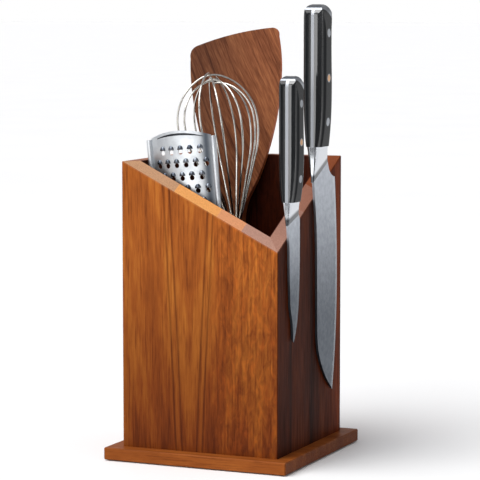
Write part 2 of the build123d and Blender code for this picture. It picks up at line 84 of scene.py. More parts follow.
class Graph:
    """One material while its nodes are being wired."""

    def __init__(self, name: str) -> None:
        """Start a material that holds only its surface shader.

        Args:
            name: The material's name.
        """
        self.material = bpy.data.materials.new(name)
        self.material.use_nodes = True
        self.tree = self.material.node_tree
        self.tree.nodes.clear()
        self.shader = self.tree.nodes.new("ShaderNodeBsdfPrincipled")
        output = self.tree.nodes.new("ShaderNodeOutputMaterial")
        self.tree.links.new(self.shader.outputs[0], output.inputs[0])

    def feed(self, socket: Socket, value: Value) -> None:
        """Link a socket, or set it where the value is plain.

        Args:
            socket: The input to fill.
            value: Another node's output, a number or a colour.
        """
        if isinstance(value, bpy.types.NodeSocket):
            self.tree.links.new(value, socket)
        elif socket.type == "RGBA":
            socket.default_value = (*value[:3], 1.0)
        else:
            socket.default_value = value

    def place(self, scale: Colour = (1, 1, 1), shift: Colour = (0, 0, 0), turn: Colour = (0, 0, 0)) -> Socket:
        """Object coordinates, moved, turned and scaled.

        Args:
            scale: Scale on each axis.
            shift: Shift on each axis, in metres before scaling.
            turn: Turn about each axis, in radians.

        Returns:
            The vector output.
        """
        source = self.tree.nodes.new("ShaderNodeTexCoord")
        mapping = self.tree.nodes.new("ShaderNodeMapping")
        mapping.inputs["Location"].default_value = shift
        mapping.inputs["Rotation"].default_value = turn
        mapping.inputs["Scale"].default_value = scale
        self.tree.links.new(source.outputs["Object"], mapping.inputs["Vector"])
        return mapping.outputs[0]

    def parts(self, vector: Optional[Socket] = None) -> list[Socket]:
        """Split a vector into its three numbers.

        Args:
            vector: The vector, or None for the object coordinates.

        Returns:
            The three outputs.
        """
        node = self.tree.nodes.new("ShaderNodeSeparateXYZ")
        self.feed(node.inputs[0], self.place() if vector is None else vector)
        return list(node.outputs)

    def join(self, x: Value, y: Value, z: Value) -> Socket:
        """Make a vector from three numbers.

        Args:
            x: Its first number.
            y: Its second number.
            z: Its third number.

        Returns:
            The vector.
        """
        node = self.tree.nodes.new("ShaderNodeCombineXYZ")
        for socket, value in zip(node.inputs, (x, y, z)):
            self.feed(socket, value)
        return node.outputs[0]

    def facing(self) -> list[Socket]:
        """The surface normal in the row frame, split into its three numbers."""
        node = self.tree.nodes.new("ShaderNodeNewGeometry")
        return self.parts(node.outputs["Normal"])

    def math(self, operation: str, first: Value, second: Value = 0.0) -> Socket:
        """One step of arithmetic.

        Args:
            operation: Blender's name for the step.
            first: The first number.
            second: The second number, where the step has one.

        Returns:
            The answer.
        """
        node = self.tree.nodes.new("ShaderNodeMath")
        node.operation = operation
        self.feed(node.inputs[0], first)
        self.feed(node.inputs[1], second)
        return node.outputs[0]

    def plus(self, first: Value, second: Value) -> Socket:
        """Add two numbers."""
        return self.math("ADD", first, second)

    def minus(self, first: Value, second: Value) -> Socket:
        """Take the second number from the first."""
        return self.math("SUBTRACT", first, second)

    def times(self, first: Value, second: Value) -> Socket:
        """Multiply two numbers."""
        return self.math("MULTIPLY", first, second)

    def size(self, value: Value) -> Socket:
        """Drop a number's sign."""
        return self.math("ABSOLUTE", value)

    def push(self, value: Value, pattern: Socket, reach: float) -> Socket:
        """Shift a value to and fro as a pattern leaves its middle, by up to half of reach."""
        return self.plus(value, self.times(self.minus(pattern, MIDDLE), reach))

    def rise(self, value: Value, low: float, high: float, bottom: float = 0.0, top: float = 1.0) -> Socket:
        """A smooth step from bottom to top as a value goes from low to high.

        Args:
            value: The number that is read.
            low: Where the step starts.
            high: Where it ends.
            bottom: The answer below the step.
            top: The answer above it.

        Returns:
            The stepped number.
        """
        node = self.tree.nodes.new("ShaderNodeMapRange")
        node.interpolation_type = "SMOOTHSTEP"
        for socket, number in zip(node.inputs, (value, low, high, bottom, top)):
            self.feed(socket, number)
        return node.outputs[0]

    def stripe(self, value: Value, centre: float, width: float) -> Socket:
        """A soft line: 1 where a value equals centre, falling to 0 at half a width either side."""
        return self.rise(self.size(self.minus(value, centre)), 0.0, width / 2, 1.0, 0.0)

    def noise(self, vector: Value, scale: float, detail: float = 3.0, rough: float = 0.5,
              warp: float = 0.0) -> Socket:
        """Cloudy noise.

        Args:
            vector: Where it is read.
            scale: Clouds to the metre.
            detail: Layers of finer clouds.
            rough: Strength of the finer layers.
            warp: How far the pattern is pushed by itself.

        Returns:
            The noise, about 0.5 in the middle.
        """
        node = self.tree.nodes.new("ShaderNodeTexNoise")
        self.feed(node.inputs["Vector"], vector)
        node.inputs["Scale"].default_value = scale
        node.inputs["Detail"].default_value = detail
        node.inputs["Roughness"].default_value = rough
        node.inputs["Distortion"].default_value = warp
        return node.outputs[0]

    def ramp(self, value: Value, *stops: tuple[float, Colour], stepped: bool = False) -> Socket:
        """Read a number off a row of colours.

        Args:
            value: The number, 0 to 1.
            stops: Places and colours, in order.
            stepped: Whether each colour holds until the next one.

        Returns:
            The colour.
        """
        node = self.tree.nodes.new("ShaderNodeValToRGB")
        band = node.color_ramp
        band.interpolation = "CONSTANT" if stepped else "LINEAR"
        while len(band.elements) < len(stops):
            band.elements.new(1.0)
        for element, (place, colour) in zip(band.elements, stops):
            element.position = place
            element.color = (*colour, 1.0)
        self.feed(node.inputs[0], value)
        return node.outputs[0]

    def curve(self, value: Value, points: tuple[tuple[float, float], ...], reach: float) -> Socket:
        """Follow a drawn line.

        Args:
            value: Place along the line, in metres, between 0 and reach.
            points: Places and heights of the line, in metres.
            reach: The length that counts as 1 on the line's graph.

        Returns:
            The line's height there, in metres.
        """
        node = self.tree.nodes.new("ShaderNodeFloatCurve")
        line = node.mapping.curves[0]
        while len(line.points) < len(points):
            line.points.new(MIDDLE, MIDDLE)
        for point, (along, height) in zip(line.points, points):
            point.location = (along / reach, height / reach)
        node.mapping.update()
        self.feed(node.inputs["Value"], self.math("DIVIDE", value, reach))
        return self.times(node.outputs[0], reach)

    def mix(self, share: Value, under: Value, over: Value, blend: Blend = Blend.MIX) -> Socket:
        """Lay one colour over another.

        Args:
            share: How much of the upper one shows.
            under: The lower colour.
            over: The upper colour.
            blend: How they meet.

        Returns:
            The colour.
        """
        node = self.tree.nodes.new("ShaderNodeMix")
        node.data_type = "RGBA"
        node.blend_type = blend.value
        self.feed(node.inputs[0], share)
        self.feed(node.inputs[6], under)
        self.feed(node.inputs[7], over)
        return node.outputs[2]

    def tint(self, colour: Value, stain: Value, share: Value = 1.0) -> Socket:
        """Multiply a colour by a stain, as far as the share goes."""
        return self.mix(share, colour, stain, Blend.MULTIPLY)

    def surface(self, **inputs: Value) -> None:
        """Fill the shader's inputs.

        Args:
            inputs: Values by the inputs' names, in lower case with underscores for spaces.
        """
        for name, value in inputs.items():
            self.feed(self.shader.inputs[name.replace("_", " ").title().replace("Ior", "IOR")], value)

    def bump(self, height: Value, strength: float, depth: float) -> None:
        """Rough the surface.

        Args:
            height: The pattern of heights.
            strength: How strongly it shows, 0 to 1.
            depth: Depth of the pattern, in metres.
        """
        node = self.tree.nodes.new("ShaderNodeBump")
        node.inputs["Strength"].default_value = strength
        node.inputs["Distance"].default_value = depth
        self.feed(node.inputs["Height"], height)
        self.tree.links.new(node.outputs[0], self.shader.inputs["Normal"])


# ---------------------------------------------------------------- finishes
@dataclass(frozen=True)
class Acacia:
    """Oiled acacia board. Its streaks arch about one line and run along the grain."""

    name: str
    across: Axis
    along: Axis
    dark: Colour
    middle: Colour
    light: Colour
    centre: float = -9 * MM
    spread: float = 0.052
    seed: float = 0.0
    shine: float = 0.08
    figure_from: float = 1.0
    line_places: tuple[float, ...] = ()
    band_places: tuple[tuple[float, float, Colour], ...] = ()
    rim: tuple[tuple[float, Colour], ...] = ()
    well_half: float = 62.8 * MM
    board_half: float = 75 * MM
    foot: Colour = WHITE
    foot_low: float = 40 * MM
    foot_high: float = 230 * MM
    # tint for faces across the grain: partly the wood's own darker end grain, partly painted shade on the
    # base's ends
    end_grain_and_shade: Colour = WHITE
    # painted shade: the tint that darkens the walls' faces inside the well
    inner: Colour = (0.2, 0.12, 0.12)
    sway_reach: float = 14 * MM
    broad_streaks: float = 52.0
    fine_streaks: float = 330.0
    fibres: float = 820.0
    pores: float = 1400.0
    mottle_size: float = 210.0
    mottle_width: float = 22 * MM
    line_width: float = 3.6 * MM

    def rim_colour(self, g: Graph, wood: Socket, across: Socket) -> Socket:
        """Colour the cut top edge, where glued staves of other shades show.

        Args:
            g: The material being wired.
            wood: The board's colour elsewhere.
            across: Place across the board.

        Returns:
            The colour with the top edge in it.
        """
        place = self.share_across(g, across)
        staves = g.ramp(place, *self.rim, stepped=True)
        pores = g.noise(g.place((self.pores,) * 3), 1.0, 2.0)
        shade = g.ramp(pores, (0.35, (0.78, 0.74, 0.72)), (0.62, (1.08, 1.06, 1.05)))
        staves = g.tint(staves, shade)
        return g.mix(g.rise(g.facing()[2], 0.45, 0.6), wood, staves)

    def share_across(self, g: Graph, across: Socket) -> Socket:
        """Place across the board, from 0 at one side to 1 at the other."""
        return g.math("DIVIDE", g.plus(across, self.board_half), 2 * self.board_half)

    def stretched(self, across: float, along: float) -> Colour:
        """A scale for patterns: one number along the grain and another on both other axes."""
        return tuple(along if axis is self.along else across for axis in Axis)

    def build(self) -> bpy.types.Material:
        """Wire the wood.

        Returns:
            The material.
        """
        g = Graph(self.name)
        spot = g.parts(g.place(shift=(self.seed, self.seed, self.seed)))
        real = g.parts()
        side, grain = real[self.across.value], real[self.along.value]
        sway = g.noise(g.place(self.stretched(9.0, 2.2), (self.seed,) * 3), 1.0, 2.0)
        arch = g.minus(g.size(g.minus(side, self.centre)), g.times(grain, self.spread))
        arch = g.push(arch, sway, self.sway_reach)
        depth = spot[3 - self.across.value - self.along.value]
        streak_at = g.join(arch, g.times(spot[self.along.value], 0.12), g.times(depth, 0.3))
        broad = g.noise(streak_at, self.broad_streaks, 3.0, 0.55)
        fine = g.noise(streak_at, self.fine_streaks, 3.0, 0.6)
        fibre = g.noise(g.place(self.stretched(self.fibres, 30.0)), 1.0, 3.0, 0.6)
        level = g.plus(g.plus(g.times(broad, 0.54), g.times(fine, 0.25)), g.times(fibre, 0.21))
        wood = g.ramp(level, (0.36, self.dark), (0.5, self.middle), (0.64, self.light))
        mottle_at = g.place(self.stretched(self.mottle_size, 75.0), turn=(0.0, 0.25, 0.0))
        figure = g.noise(mottle_at, 1.0, 2.0, 0.6, 0.9)
        area = g.rise(g.push(side, sway, 0.05), self.figure_from, self.figure_from + self.mottle_width)
        mottle = g.ramp(figure, (0.3, (0.66, 0.58, 0.52)), (0.5, WHITE), (0.7, (1.42, 1.36, 1.22)))
        wood = g.tint(wood, mottle, g.times(area, 0.85))
        for place in self.line_places:
            line = g.stripe(arch, place, self.line_width)
            wood = g.tint(wood, (0.4, 0.31, 0.28), g.times(line, 0.75))
        for place, width, colour in self.band_places:
            wood = g.tint(wood, colour, g.stripe(g.push(side, sway, 8 * MM), place, width))
        pore = g.rise(fibre, 0.34, 0.46)
        wood = g.tint(wood, g.ramp(pore, (0.0, (0.62, 0.56, 0.54)), (1.0, WHITE)), 0.6)
        rise = g.rise(real[2], self.foot_low, self.foot_high)
        wood = g.tint(wood, g.mix(rise, self.foot, WHITE))
        # end faces tinted darker: partly real end grain, partly painted shade on the base's ends
        ends = g.rise(g.size(g.facing()[self.along.value]), 0.5, 0.8)
        wood = g.mix(ends, wood, g.tint(wood, self.end_grain_and_shade))
        if self.rim:
            wood = self.rim_colour(g, wood, side)
            # painted shade: the walls' inner faces, down in the well, are darkened where shade falls
            reach = g.math("MAXIMUM", g.size(real[0]), g.size(real[1]))
            well_shade_share = g.rise(reach, self.well_half - 0.1 * MM, self.well_half + 0.1 * MM, 1.0, 0.0)
            wood = g.tint(wood, self.inner, well_shade_share)
        g.surface(base_color=wood, roughness=g.rise(fibre, 0.3, 0.7, 0.52, 0.38),
                  specular_ior_level=self.shine)
        g.bump(g.plus(fibre, g.times(fine, 0.6)), 0.25, 0.12 * MM)
        return g.material


@dataclass(frozen=True)
class Walnut:
    """Oiled walnut whose grain runs up the shaft and slants across the blade."""

    name: str = "oiled_walnut"
    neck: float = 215 * MM
    slant: float = 0.5
    vein_pitch: float = 14 * MM
    sway_reach: float = 12 * MM

    def build(self) -> bpy.types.Material:
        """Wire the wood.

        Returns:
            The material.
        """
        g = Graph(self.name)
        x, y, z = g.parts()
        lift = g.math("MAXIMUM", g.minus(z, self.neck), 0.0)
        sway = g.noise(g.place((14, 14, 6)), 1.0, 2.0)
        across = g.push(g.plus(x, g.times(lift, self.slant)), sway, self.sway_reach)
        at = g.join(across, g.times(y, 0.6), g.times(z, 0.05))
        broad = g.noise(at, 70.0, 2.0, 0.5)
        fine = g.noise(at, 420.0, 3.0, 0.6)
        fibre = g.noise(g.join(across, y, g.times(z, 0.02)), 1500.0, 2.0)
        level = g.plus(g.plus(g.times(broad, 0.3), g.times(fine, 0.35)), g.times(fibre, 0.35))
        wood = g.ramp(level, (0.36, tone(82, 43, 24)), (0.5, tone(116, 68, 42)), (0.64, tone(146, 94, 60)))
        wander = g.noise(g.join(across, y, g.times(z, 0.25)), 38.0, 1.0)
        turns = g.math("DIVIDE", across, self.vein_pitch)
        phase = g.math("FRACT", g.plus(turns, g.times(wander, 2.2)))
        strength = g.rise(g.noise(at, 45.0, 1.0), 0.35, 0.6, 0.15, 0.75)
        veins = g.times(g.stripe(phase, MIDDLE, 0.26), strength)
        wood = g.tint(wood, (0.4, 0.31, 0.29), veins)
        ring = g.times(g.rise(phase, MIDDLE, 0.0, 0.0, 0.35), strength)
        wood = g.tint(wood, (0.74, 0.68, 0.66), ring)
        # painted shade and light: the blade is darker on its left and lighter on its right
        side = g.rise(x, -65 * MM, 15 * MM)
        wood = g.tint(wood, g.mix(side, (0.7, 0.7, 0.72), (1.42, 1.36, 1.3)))
        # painted highlight: faces that don't face front or back, the turner's edges, take a light orange
        rim = g.rise(g.size(g.facing()[1]), 0.35, 0.75, 1.0, 0.0)
        wood = g.mix(g.times(rim, 0.75), wood, tone(190, 104, 62))
        g.surface(base_color=wood, roughness=g.rise(fibre, 0.3, 0.7, 0.62, 0.46), specular_ior_level=0.12)
        g.bump(g.plus(fibre, fine), 0.3, 0.12 * MM)
        return g.material


@dataclass(frozen=True)
class BladeSteel:
    """Satin ground blade with a polished bolster and tang, told apart by their places."""

    name: str
    spine: float
    bolster: float
    drop: float
    heel: float
    reach: float
    edge: tuple[tuple[float, float], ...]
    low: float
    marks: float = 0.0
    edge_reach: float = 0.4
    mark_radius: float = 1.8 * MM
    mark_line: float = 0.8 * MM
    mark_in: float = 4.2 * MM

    def build(self) -> bpy.types.Material:
        """Wire the steel.

        Returns:
            The material.
        """
        g = Graph(self.name)
        _, y, z = g.parts()
        down = g.minus(self.bolster, z)
        from_spine = g.minus(y, self.spine)
        slope = (self.drop - self.heel) / self.reach
        line = g.minus(self.drop, g.times(from_spine, slope))
        ground = g.rise(g.minus(down, line), -0.4 * MM, 0.4 * MM)
        cloud = g.noise(g.place(), 240.0, 3.0, 0.6)
        brushed = g.noise(g.place((300, 300, 5200)), 1.0, 2.0)
        level = g.plus(g.times(cloud, 0.7), g.times(brushed, 0.3))
        # painted reflection: the steel darkens from the bolster down towards the tip, standing in for the
        # darker surroundings the lower blade reflects
        height = g.rise(z, self.low, self.bolster)
        steel = g.mix(height, tone(78, 85, 94), tone(180, 185, 193))
        shade = g.ramp(level, (0.34, (0.9, 0.9, 0.91)), (0.5, WHITE), (0.66, (1.1, 1.1, 1.09)))
        steel = g.tint(steel, shade)
        brink = g.minus(g.curve(z, self.edge, self.edge_reach), y)
        honed = g.rise(brink, 1.0 * MM, 2.2 * MM, 1.0, 0.0)
        steel = g.mix(g.times(honed, 0.6), steel, tone(205, 210, 216))
        if self.marks:
            beat = g.math("FRACT", g.math("DIVIDE", z, self.marks))
            beat = g.times(g.minus(beat, MIDDLE), self.marks)
            off = g.minus(brink, self.mark_in)
            far = g.math("SQRT", g.plus(g.math("POWER", beat, 2.0), g.math("POWER", off, 2.0)))
            ring = g.times(g.stripe(far, self.mark_radius, self.mark_line), g.rise(off, -0.4 * MM, 0.6 * MM))
            steel = g.mix(g.times(ring, 0.55), steel, tone(215, 220, 225))
        tang = g.rise(down, -0.5 * MM, 0.5 * MM, 1.0, 0.0)
        polished = g.mix(tang, tone(208, 211, 216), tone(158, 161, 166))
        # painted reflection: a dark wedge along the grind line on the polished steel, where the facet
        # reflects dark surroundings
        bolster_dark_reflection = g.rise(g.minus(down, line), -8.5 * MM, -4.5 * MM)
        polished = g.mix(g.times(bolster_dark_reflection, 0.93), polished, tone(40, 44, 48))
        colour = g.mix(ground, polished, steel)
        rough = g.plus(0.12, g.times(ground, g.rise(cloud, 0.3, 0.7, 0.34, 0.24)))
        rough = g.plus(rough, g.times(tang, 0.26))
        g.surface(base_color=colour, metallic=1.0, roughness=rough)
        g.bump(g.times(g.plus(brushed, cloud), ground), 0.06, 0.05 * MM)
        return g.material


@dataclass(frozen=True)
class Metal:
    """Plain metal with fine scratches and a little tarnish; where asked, a painted dark reflection band runs
    up it.
    """

    name: str
    colour: Colour
    dull: Colour
    rough_low: float = 0.12
    rough_high: float = 0.26
    lines: Colour = (900.0, 900.0, 900.0)
    bump_strength: float = 0.08
    # painted reflection band: where it stands across the sheet, its lean and its width
    reflection_band_at: Optional[float] = None
    reflection_band_lean: float = 0.09
    reflection_band_width: float = 13 * MM

    def build(self) -> bpy.types.Material:
        """Wire the metal.

        Returns:
            The material.
        """
        g = Graph(self.name)
        scratch = g.noise(g.place(self.lines), 1.0, 3.0, 0.6)
        cloud = g.noise(g.place(), 90.0, 3.0)
        colour = g.mix(g.rise(cloud, 0.35, 0.7), self.colour, self.dull)
        # painted reflection: a dark band up the sheet, standing in for dark surroundings it reflects
        if self.reflection_band_at is not None:
            x, _, z = g.parts()
            across = g.plus(x, g.times(z, self.reflection_band_lean))
            band = g.stripe(across, self.reflection_band_at, self.reflection_band_width)
            colour = g.tint(colour, (0.2, 0.22, 0.25), band)
        wear = g.plus(g.times(scratch, 0.5), g.times(cloud, 0.5))
        rough = g.rise(wear, 0.35, 0.65, self.rough_low, self.rough_high)
        g.surface(base_color=colour, metallic=1.0, roughness=rough)
        g.bump(scratch, self.bump_strength, 0.04 * MM)
        return g.material


@dataclass(frozen=True)
class BlackGrip:
    """Moulded black handle material."""

    name: str
    colour: Colour = (0.006, 0.0068, 0.0078)
    rough_low: float = 0.09
    rough_high: float = 0.12
    grain: float = 1200.0
    grain_strength: float = 0.004
    grain_depth: float = 0.05 * MM
    front_shine: float = 1.0
    side_shine: float = 0.05
    ior: float = 1.6
    crown_at: Optional[float] = None
    crown: float = 6.0

    def build(self) -> bpy.types.Material:
        """Wire the surface. It shines less where it faces the sides.

        Returns:
            The material.
        """
        g = Graph(self.name)
        speck = g.noise(g.place(), self.grain, 2.0)
        cloud = g.noise(g.place(), 60.0, 3.0)
        colour = g.mix(cloud, self.colour, tuple(1.7 * c for c in self.colour))
        left = g.rise(g.facing()[0], -0.7, -0.3, self.side_shine, self.front_shine)
        right = g.rise(g.facing()[0], 0.6, 0.93, self.front_shine, self.side_shine)
        rough = g.rise(cloud, 0.35, 0.65, self.rough_low, self.rough_high)
        shine = g.math("MINIMUM", left, right)
        g.surface(base_color=colour, roughness=rough, ior=self.ior, specular_ior_level=shine)
        if self.crown_at is None:
            g.bump(speck, self.grain_strength, self.grain_depth)
            return g.material
        away = g.minus(g.parts()[0], self.crown_at)
        fall = g.times(g.math("POWER", away, 2.0), -self.crown)
        g.bump(g.plus(fall, g.times(speck, self.grain_strength * self.grain_depth)), 1.0, 1.0)
        return g.material


# ---------------------------------------------------------------- helpers for pieces
def dress(node: str, material: bpy.types.Material) -> None:
    """Give a CAD node a finish.

    Args:
        node: The node's name.
        material: Its finish.
    """
    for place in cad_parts[node].material_slots:
        place.material = material
    log.info("dressed %s in %s", node, material.name)


def piece(name: str, shape: bmesh.types.BMesh, body: str,
          material: bpy.types.Material) -> bpy.types.Object:
    """Turn a finished bmesh into a piece that rides on a body.

    Args:
        name: The piece's name.
        shape: The mesh, in its place in the row frame; it is freed.
        body: The CAD body that carries the piece.
        material: The finish.

    Returns:
        The new object.
    """
    mesh = bpy.data.meshes.new(name)
    shape.to_mesh(mesh)
    shape.free()
    mesh.materials.append(material)
    made = bpy.data.objects.new(name, mesh)
    bpy.context.scene.collection.objects.link(made)
    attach(made, body)
    log.info("built %s with %d faces", name, len(mesh.polygons))
    return made


# ---------------------------------------------------------------- sub-assemblies
@dataclass
class Block:
    """The wooden box on its base board."""

    peach: Colour = tone(226, 160, 94)
    pink: Colour = tone(188, 146, 112)
    grey_pink: Colour = tone(178, 138, 122)

    def front(self) -> Acacia:
        """The front board, the warmest one, with arched lines and a mottled right side."""
        return Acacia(
            "front_acacia_oiled", Axis.X, Axis.Z, tone(128, 64, 22), tone(164, 89, 32), tone(196, 121, 47),
            figure_from=12 * MM, line_places=(12.5 * MM, 6.5 * MM),
            foot=(0.4, 0.31, 0.24), foot_high=270 * MM,
            rim=((0.0, self.pink), (0.337, self.peach), (0.61, tone(214, 150, 108)), (0.767, self.grey_pink)),
        )

    def right(self) -> Acacia:
        """The knife board, the darkest one, with near-black stripes."""
        return Acacia(
            "right_acacia_oiled", Axis.Y, Axis.Z, tone(44, 14, 3), tone(66, 25, 6), tone(90, 40, 13),
            centre=-0.2, spread=0.0, seed=1.7, shine=0.02,
            band_places=((-46 * MM, 9 * MM, (0.4, 0.36, 0.34)), (2.5 * MM, 14 * MM, (0.38, 0.34, 0.32)),
                         (50 * MM, 44 * MM, (1.6, 1.55, 1.4)), (68 * MM, 20 * MM, (2.4, 2.2, 1.9))),
            foot=(0.85, 0.8, 0.75),
            rim=((0.0, tone(168, 126, 110)), (0.4, tone(158, 110, 92)), (0.62, tone(140, 78, 50))),
        )

    def plain(self, name: str, across: Axis, seed: float) -> Acacia:
        """One of the boards at the back and the left.

        Args:
            name: The finish's name.
            across: The axis along the board's width.
            seed: Where the pattern is read.

        Returns:
            The finish.
        """
        return Acacia(
            name, across, Axis.Z, tone(96, 47, 19), tone(132, 70, 31), tone(164, 98, 46),
            centre=14 * MM, spread=0.04, seed=seed, figure_from=-40 * MM, line_places=(9 * MM,),
            foot=(0.7, 0.62, 0.56),
            rim=((0.0, tone(150, 92, 62)), (0.3, tone(176, 118, 84)), (0.7, tone(140, 82, 56))),
        )

    def base(self) -> Acacia:
        """The base board, its grain running along the front."""
        return Acacia(
            "base_acacia_oiled", Axis.Y, Axis.X, tone(112, 56, 20), tone(134, 71, 27), tone(152, 86, 35),
            centre=-0.3, spread=0.02, seed=3.1, board_half=88 * MM, shine=0.06, end_grain_and_shade=(0.6, 0.54, 0.48),
        )

    def build(self) -> None:
        """Dress every board and what holds them together."""
        dress("front_wall", self.front().build())
        right = self.right().build()
        dress("right_wall", right)
        dress("magnet_covers", right)
        dress("back_wall", self.plain("back_acacia_oiled", Axis.X, 5.3).build())
        dress("left_wall", self.plain("left_acacia_oiled", Axis.Y, 7.9).build())
        dress("base_board", self.base().build())
        dress("base_screws", Metal("zinc_screw", tone(176, 172, 150), tone(140, 136, 120), 0.3, 0.45).build())
        dress("wall_magnets", Metal("nickel_magnet", tone(190, 190, 192), tone(160, 160, 160)).build())
        rubber = BlackGrip("foot_rubber_matte", (0.02, 0.02, 0.02), 0.7, 0.85, 900.0, 0.2,
                           front_shine=0.3, side_shine=0.3)
        dress("rubber_feet", rubber.build())


@dataclass
class Knife:
    """One knife: a forging, two black scales, a cap and its rivets."""

    name: str
    steel: BladeSteel

    def build(self, grip: bpy.types.Material, inner: bpy.types.Material, bright: bpy.types.Material,
              brass: bpy.types.Material) -> None:
        """Dress every piece of the knife.

        Args:
            grip: The black of the outer scale.
            inner: The duller black of the scale on the block's side.
            bright: Polished steel of the cap and rivets.
            brass: The middle rivet's core.
        """
        dress(f"{self.name}_blade", self.steel.build())
        dress(f"{self.name}_outer_scale", grip)
        dress(f"{self.name}_inner_scale", inner)
        dress(f"{self.name}_end_cap", bright)
        dress(f"{self.name}_rivets", bright)
        dress(f"{self.name}_middle_rivet", bright)
        dress(f"{self.name}_rivet_core", brass)


@dataclass
class Whisk:
    """The whisk: wire loops in a steel tube."""

    loops: int = 6

    def build(self) -> None:
        """Dress the loops and the handle."""
        wire = Metal("whisk_wire_steel", tone(225, 222, 214), tone(190, 188, 182), 0.1, 0.2).build()
        satin = Metal(
            "whisk_tube_satin", tone(190, 192, 194), tone(170, 172, 175), 0.25, 0.38, (2500, 2500, 60),
        ).build()
        for index in range(1, self.loops + 1):
            dress(f"whisk_loop_{index}", wire)
        for node in ("whisk_handle", "whisk_end_cap", "whisk_plug"):
            dress(node, satin)


@dataclass
class Turner:
    """The wooden turner, one piece."""

    wood: Walnut = field(default_factory=Walnut)

    def build(self) -> None:
        """Dress the turner."""
        dress("turner", self.wood.build())


@dataclass
class Grater:
    """The hand grater: its pressed teeth are built here, over the holes in the sheet."""

    foot: Vector = field(default_factory=lambda: Vector((-4.0, -50.5, 12.6)) * MM)
    lean: float = -0.09
    half: float = 29.2 * MM
    bow: float = 6.5 * MM
    top: float = 283.6 * MM
    first_row: float = 19.1 * MM
    row_pitch: float = 11.65 * MM
    tooth_pitch: float = 9.0 * MM
    tooth_shift: float = 1.6 * MM
    rows: int = 13
    short_row: int = 5
    hood_rise: float = 2.2 * MM
    hood_half: float = 2.5 * MM
    hood_length: float = 3.6 * MM
    hood_height: float = 1.5 * MM
    hood_wall: float = 0.3 * MM
    slot_half: float = 23.0 * MM
    slot_top: float = 1.8 * MM
    slot_fall: float = 4.2 * MM
    lip_depth: float = 1.6 * MM
    lip_height: float = 3.0 * MM
    lip_wall: float = 0.3 * MM
    lip_steps: int = 24

    @property
    def up(self) -> Vector:
        """The way up the sheet, which leans."""
        return Vector((self.lean, 0, 1)).normalized()

    @property
    def right(self) -> Vector:
        """The way across the sheet."""
        return Vector((1, 0, -self.lean)).normalized()

    @property
    def radius(self) -> float:
        """The radius of the sheet's bow."""
        return (self.half**2 + self.bow**2) / (2 * self.bow)

    def hood(self) -> bmesh.types.BMesh:
        """One pressed hood, open towards -Z and bulging towards -Y, about the row frame's origin.

        Returns:
            The hood's mesh.
        """
        shape = bmesh.new()
        bmesh.ops.create_uvsphere(shape, u_segments=12, v_segments=8, radius=1.0)
        every = shape.verts[:] + shape.edges[:] + shape.faces[:]
        bmesh.ops.bisect_plane(shape, geom=every, plane_co=(0, 0, 0), plane_no=(0, 1, 0), clear_outer=True)
        every = shape.verts[:] + shape.edges[:] + shape.faces[:]
        bmesh.ops.bisect_plane(shape, geom=every, plane_co=(0, 0, 0), plane_no=(0, 0, 1), clear_inner=True)
        bmesh.ops.scale(shape, vec=(self.hood_half, self.hood_height, self.hood_length), verts=shape.verts)
        bmesh.ops.recalc_face_normals(shape, faces=shape.faces)
        bmesh.ops.solidify(shape, geom=shape.faces[:], thickness=-self.hood_wall)
        for face in shape.faces:
            face.smooth = True
        return shape

    def lip(self) -> bmesh.types.BMesh:
        """The lip folded down behind the arched slot.

        Returns:
            The lip's mesh, in its place in the row frame.
        """
        shape = bmesh.new()
        bmesh.ops.create_grid(shape, x_segments=self.lip_steps, y_segments=1, size=1.0)
        for vert in shape.verts:
            across = self.slot_half * vert.co.x
            fall = self.slot_top + self.slot_fall * vert.co.x**2
            fall += self.lip_height if vert.co.y < 0 else 0.0
            stand = sqrt(self.radius**2 - across**2) - self.radius + self.bow - self.lip_depth
            spot = self.foot + self.right * across - Vector((0, stand, 0))
            vert.co = spot + self.up * (self.top - fall)
        bmesh.ops.recalc_face_normals(shape, faces=shape.faces)
        # turned over, or the wall would be added on the strip's other side
        bmesh.ops.reverse_faces(shape, faces=shape.faces[:])
        bmesh.ops.solidify(shape, geom=shape.faces[:], thickness=self.lip_wall)
        return shape

    def tooth_place(self, row: int, column: int, count: int) -> Matrix:
        """Where one hood stands on the bowed sheet.

        Args:
            row: The row, counted from the top.
            column: Its place in the row.
            count: Hoods in the row.

        Returns:
            The matrix that moves a hood there from the origin.
        """
        across = (column - (count - 1) / 2) * self.tooth_pitch + self.tooth_shift
        angle = asin(across / self.radius)
        stand = self.radius * cos(angle) - self.radius + self.bow
        rise = self.top - self.first_row - row * self.row_pitch + self.hood_rise
        spot = self.foot + self.right * across - Vector((0, stand, 0)) + self.up * rise
        sheet = Matrix((self.right, Vector((0, 1, 0)), self.up)).transposed()
        turn = sheet @ Matrix.Rotation(angle, 3, "Z")
        return Matrix.Translation(spot) @ turn.to_4x4()

    def teeth(self) -> bmesh.types.BMesh:
        """A hood over every hole, in rows that are one shorter every other time.

        Returns:
            The hoods' mesh, in its place in the row frame.
        """
        hood = bpy.data.meshes.new("hood")
        pattern = self.hood()
        pattern.to_mesh(hood)
        pattern.free()
        shape = bmesh.new()
        for row in range(self.rows):
            count = self.short_row + row % 2
            for column in range(count):
                before = len(shape.verts)
                shape.from_mesh(hood)
                shape.verts.ensure_lookup_table()
                place = self.tooth_place(row, column, count)
                bmesh.ops.transform(shape, matrix=place, verts=shape.verts[before:])
        bpy.data.meshes.remove(hood)
        return shape

    def build(self, steel: bpy.types.Material, tooth_painted_dark: bpy.types.Material, dark: bpy.types.Material,
              grip: bpy.types.Material) -> None:
        """Dress the grater, press its teeth and fold its lip.

        Args:
            steel: The sheet's finish.
            tooth_painted_dark: The pressed teeth's finish.
            dark: The lip's finish, a darker steel that is painted shade behind the slot.
            grip: The handle's finish.
        """
        piece("grater_lip", self.lip(), "grater", dark)
        for node in ("grater_sheet", "grater_left_rail", "grater_right_rail"):
            dress(node, steel)
        dress("grater_handle", grip)
        piece("grater_teeth", self.teeth(), "grater", tooth_painted_dark)


